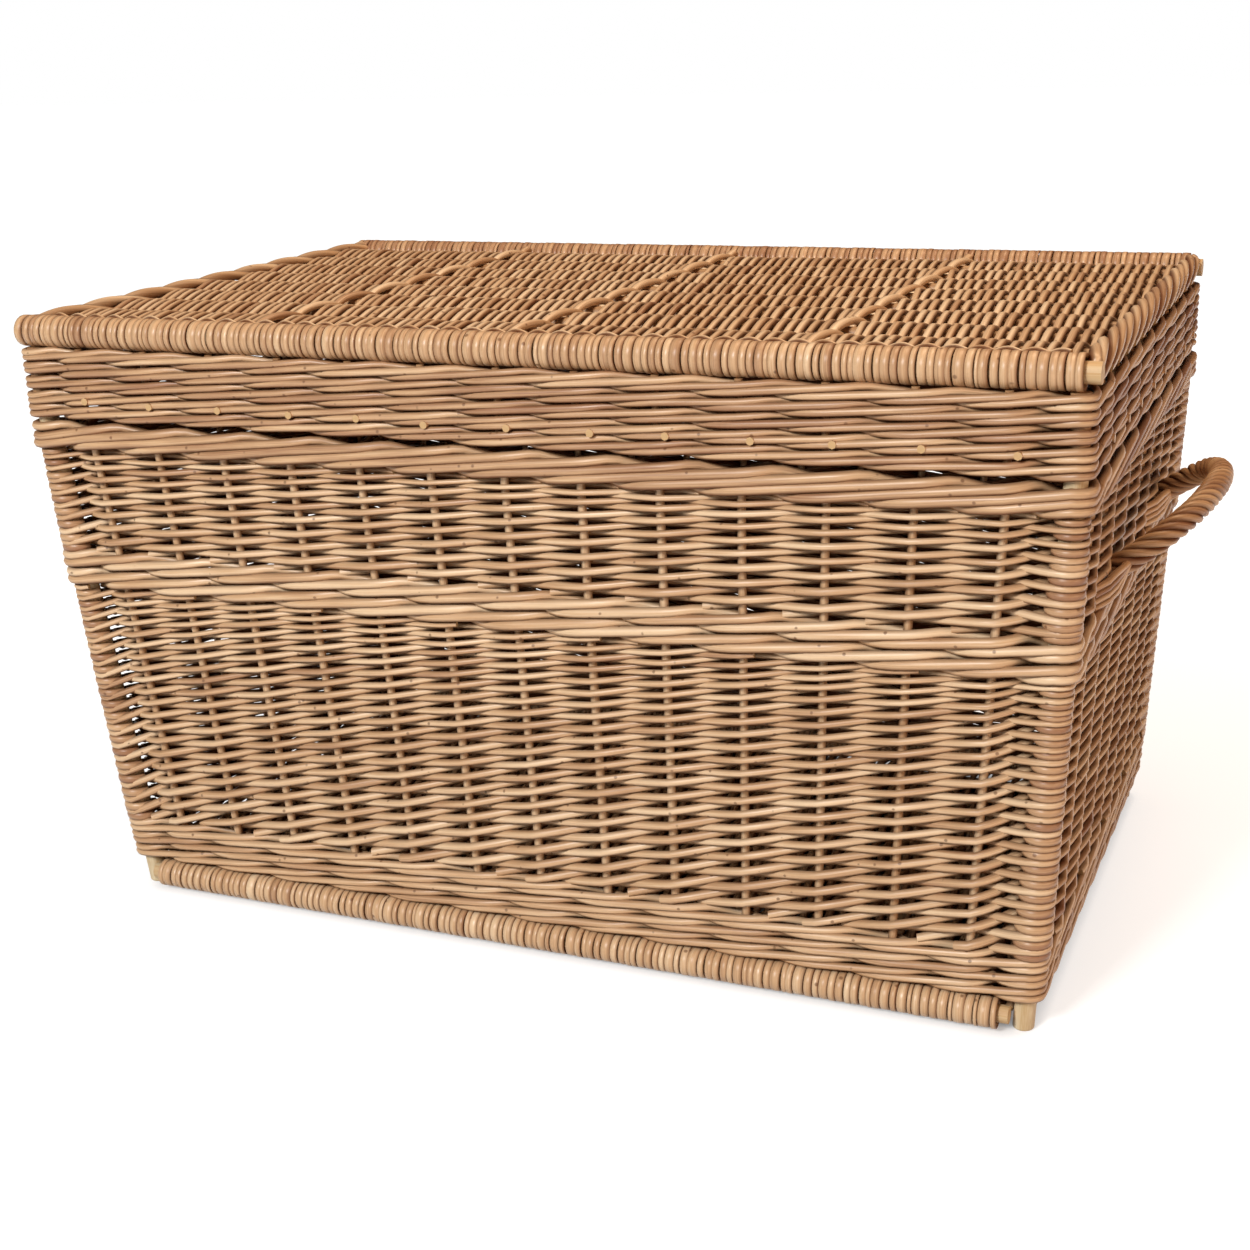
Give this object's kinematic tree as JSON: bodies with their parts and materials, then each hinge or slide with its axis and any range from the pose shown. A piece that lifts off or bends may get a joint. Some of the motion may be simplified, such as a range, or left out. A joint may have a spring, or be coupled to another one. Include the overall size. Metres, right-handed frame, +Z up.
{
  "type": "laundry hamper with lid",
  "caption": "Rectangular woven willow laundry hamper that tapers to the floor, with a shallow box lid hinged at the rear on willow loops and a roped handle on each end.",
  "frame": {"origin": "on the floor under the middle of the hamper", "axes": "+X along the long side, -Y to the front, +Y to the hinged rear, +Z up"},
  "size_m": [0.8556, 0.4848, 0.444],
  "materials": {
    "buff_willow_weave": "buff willow rods, boiled and peeled, satin",
    "peeled_posts": "peeled willow, bare cut ends",
    "base_and_lid_sticks": "peeled willow, bare cut ends",
    "roped_handles": "twisted buff willow, satin",
    "hinge_willow": "twisted buff willow, satin"
  },
  "bodies": {
    "hamper": {"base_edge_stick_front": "base_and_lid_sticks", "base_edge_stick_rear": "base_and_lid_sticks", "base_inner_sticks": "base_and_lid_sticks", "base_weave": "buff_willow_weave", "bottom_wale_front": "buff_willow_weave", "bottom_wale_left": "buff_willow_weave", "bottom_wale_rear": "buff_willow_weave", "bottom_wale_right": "buff_willow_weave", "corner_post_front_left": "peeled_posts", "corner_post_front_right": "peeled_posts", "corner_post_rear_left": "peeled_posts", "corner_post_rear_right": "peeled_posts", "corner_wrap_front_left": "buff_willow_weave", "corner_wrap_front_right": "buff_willow_weave", "corner_wrap_rear_left": "buff_willow_weave", "corner_wrap_rear_right": "buff_willow_weave", "handle_left": "roped_handles", "handle_right": "roped_handles", "hinge_loop_left": "hinge_willow", "hinge_loop_right": "hinge_willow", "lower_weave_front": "buff_willow_weave", "lower_weave_left": "buff_willow_weave", "lower_weave_rear": "buff_willow_weave", "lower_weave_right": "buff_willow_weave", "middle_wale_front": "buff_willow_weave", "middle_wale_left": "buff_willow_weave", "middle_wale_rear": "buff_willow_weave", "middle_wale_right": "buff_willow_weave", "stakes_front": "buff_willow_weave", "stakes_left": "buff_willow_weave", "stakes_rear": "buff_willow_weave", "stakes_right": "buff_willow_weave", "top_border_front": "buff_willow_weave", "top_border_left": "buff_willow_weave", "top_border_rear": "buff_willow_weave", "top_border_right": "buff_willow_weave", "upper_weave_front": "buff_willow_weave", "upper_weave_left": "buff_willow_weave", "upper_weave_rear": "buff_willow_weave", "upper_weave_right": "buff_willow_weave"},
    "lid": {"lid_corner_posts": "peeled_posts", "lid_corner_wraps": "buff_willow_weave", "lid_edge_stick_front": "base_and_lid_sticks", "lid_edge_stick_rear": "base_and_lid_sticks", "lid_end_border_left": "buff_willow_weave", "lid_end_border_right": "buff_willow_weave", "lid_hinge_rod": "hinge_willow", "lid_inner_sticks": "base_and_lid_sticks", "lid_stakes_front": "buff_willow_weave", "lid_stakes_left": "buff_willow_weave", "lid_stakes_rear": "buff_willow_weave", "lid_stakes_right": "buff_willow_weave", "lid_wall_front": "buff_willow_weave", "lid_wall_left": "buff_willow_weave", "lid_wall_rear": "buff_willow_weave", "lid_wall_right": "buff_willow_weave", "lid_weave": "buff_willow_weave"}
  },
  "joints": [
    {"name": "lid_hinge", "type": "hinge", "parent": "hamper", "child": "lid", "pos_m": [0, 0.234, 0.3784], "axis": [-1, 0, 0], "range_deg": [0, 105]}
  ]
}
